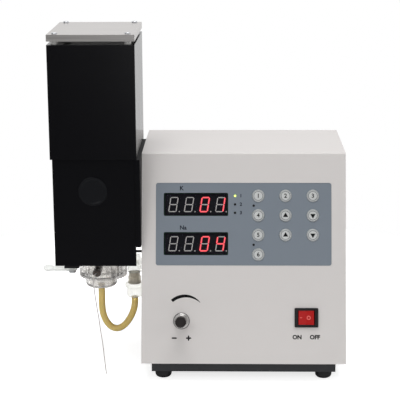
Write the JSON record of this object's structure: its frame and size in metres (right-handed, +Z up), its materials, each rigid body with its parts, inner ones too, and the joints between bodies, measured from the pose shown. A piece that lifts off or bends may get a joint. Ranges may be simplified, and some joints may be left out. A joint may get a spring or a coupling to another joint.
{
  "type": "flame photometer",
  "caption": "Bench flame photometer: sloping control cabinet with displays, keys, gas valve and mains rocker, and a black burner tower with spray chamber, drain hose and sample capillary.",
  "frame": {"origin": "on the bench under the middle of the part's box, without the free hose and capillary", "axes": "+Z up from the bench, +Y from the front to the back, +X to the right as seen from the front"},
  "size_m": [0.4052, 0.2778, 0.4596],
  "materials": {
    "grey_paint": "satin powder coat",
    "black_paint": "gloss black enamel",
    "plinth_paint": "satin",
    "foot_rubber": "matte",
    "screw_steel": "plain",
    "overlay_film": "satin film",
    "window_acrylic": "polished",
    "display_plastic": "plain",
    "circuit_board": "solder mask",
    "lamp_lens": "polished",
    "key_silver": "metallised",
    "switch_black": "moulded",
    "rocker_red": "polished",
    "brass": "turned",
    "chrome": "polished",
    "knob_brown": "moulded",
    "core_steel": "lacquered",
    "coil_copper": "wound wire",
    "black_hose": "matte",
    "air_hose": "satin",
    "view_glass": "polished",
    "stainless": "brushed",
    "clear_glass": "clear",
    "clear_acrylic": "clear",
    "nebulizer_brown": "moulded",
    "trap_white": "moulded",
    "sight_plastic": "translucent",
    "lever_grey": "satin",
    "holder_black": "black anodised",
    "latex_hose": "amber latex",
    "capillary_plastic": "clear tube"
  },
  "bodies": {
    "case": {"cabinet_shell": "grey_paint", "rear_panel": "grey_paint", "base_pan": "plinth_paint", "feet": "foot_rubber", "case_screws": "screw_steel", "overlay_panel": "overlay_film", "display_windows": "window_acrylic", "display_modules": "display_plastic", "display_board": "circuit_board", "indicator_leds": "lamp_lens", "switch_housing": "switch_black", "valve_body": "brass", "valve_nut": "chrome", "gas_inlet": "brass", "air_inlet": "brass", "power_inlet": "switch_black", "inlet_pins": "chrome", "transformer_core": "core_steel", "transformer_coil": "coil_copper", "main_board": "circuit_board", "gas_line": "black_hose", "air_line": "air_hose", "fuel_line": "black_hose", "tower_base": "black_paint", "lower_cover": "black_paint", "view_window": "view_glass", "hood": "black_paint", "lid": "stainless", "lid_standoffs": "screw_steel", "lid_screws": "screw_steel", "bridge_housing": "black_paint", "chimney_glass": "clear_glass", "burner_head": "stainless", "mixing_chamber": "clear_acrylic", "chamber_cup": "clear_acrylic", "nebulizer": "nebulizer_brown", "trap_body": "trap_white", "sight_tube": "sight_plastic", "trap_nut": "trap_white", "lever_screw": "screw_steel", "lens_tube": "clear_glass", "filter_holder": "holder_black", "detector_board": "circuit_board", "drain_hose": "latex_hose", "sample_capillary": "capillary_plastic"},
    "key_1": {"key_1": "key_silver"},
    "key_2": {"key_2": "key_silver"},
    "key_3": {"key_3": "key_silver"},
    "key_4": {"key_4": "key_silver"},
    "key_5": {"key_5": "key_silver"},
    "key_6": {"key_6": "key_silver"},
    "key_7": {"key_7": "key_silver"},
    "key_8": {"key_8": "key_silver"},
    "key_9": {"key_9": "key_silver"},
    "key_10": {"key_10": "key_silver"},
    "rocker": {"switch_rocker": "rocker_red"},
    "gas_stem": {"valve_spindle": "chrome", "valve_knob": "knob_brown"},
    "needle": {"valve_needle": "brass"},
    "lever": {"shutter_lever": "lever_grey"}
  },
  "joints": [
    {"name": "key_1_press", "type": "slide", "parent": "case", "child": "key_1", "axis": [0, 0.9613, -0.2756], "range_m": [0, 0.0005], "stiffness_N_per_m": 300, "springref_m": -0.0012},
    {"name": "key_2_press", "type": "slide", "parent": "case", "child": "key_2", "axis": [0, 0.9613, -0.2756], "range_m": [0, 0.0005], "stiffness_N_per_m": 300, "springref_m": -0.0012},
    {"name": "key_3_press", "type": "slide", "parent": "case", "child": "key_3", "axis": [0, 0.9613, -0.2756], "range_m": [0, 0.0005], "stiffness_N_per_m": 300, "springref_m": -0.0012},
    {"name": "key_4_press", "type": "slide", "parent": "case", "child": "key_4", "axis": [0, 0.9613, -0.2756], "range_m": [0, 0.0005], "stiffness_N_per_m": 300, "springref_m": -0.0012},
    {"name": "key_5_press", "type": "slide", "parent": "case", "child": "key_5", "axis": [0, 0.9613, -0.2756], "range_m": [0, 0.0005], "stiffness_N_per_m": 300, "springref_m": -0.0012},
    {"name": "key_6_press", "type": "slide", "parent": "case", "child": "key_6", "axis": [0, 0.9613, -0.2756], "range_m": [0, 0.0005], "stiffness_N_per_m": 300, "springref_m": -0.0012},
    {"name": "key_7_press", "type": "slide", "parent": "case", "child": "key_7", "axis": [0, 0.9613, -0.2756], "range_m": [0, 0.0005], "stiffness_N_per_m": 300, "springref_m": -0.0012},
    {"name": "key_8_press", "type": "slide", "parent": "case", "child": "key_8", "axis": [0, 0.9613, -0.2756], "range_m": [0, 0.0005], "stiffness_N_per_m": 300, "springref_m": -0.0012},
    {"name": "key_9_press", "type": "slide", "parent": "case", "child": "key_9", "axis": [0, 0.9613, -0.2756], "range_m": [0, 0.0005], "stiffness_N_per_m": 300, "springref_m": -0.0012},
    {"name": "key_10_press", "type": "slide", "parent": "case", "child": "key_10", "axis": [0, 0.9613, -0.2756], "range_m": [0, 0.0005], "stiffness_N_per_m": 300, "springref_m": -0.0012},
    {"name": "mains_rocker", "type": "hinge", "parent": "case", "child": "rocker", "pos_m": [0.15043, -0.1036, 0.08584], "axis": [0, 0.2756, 0.9613], "range_deg": [0, 20]},
    {"name": "gas_knob", "type": "hinge", "parent": "case", "child": "gas_stem", "pos_m": [-0.01438, -0.11415, 0.08388], "axis": [0, -0.9613, 0.2756], "range_deg": [0, 1080]},
    {"name": "needle_lift", "type": "slide", "parent": "case", "child": "needle", "axis": [0, -0.9613, 0.2756], "range_m": [0, 0.00225]},
    {"name": "lever_swing", "type": "hinge", "parent": "case", "child": "lever", "pos_m": [-0.16362, -0.04955, 0.1345], "axis": [0, 0, 1], "range_deg": [0, 40]}
  ],
  "couplings": [
    {"joint": "gas_knob", "follows": "needle_lift", "rad_per_m": 8377.6}
  ]
}
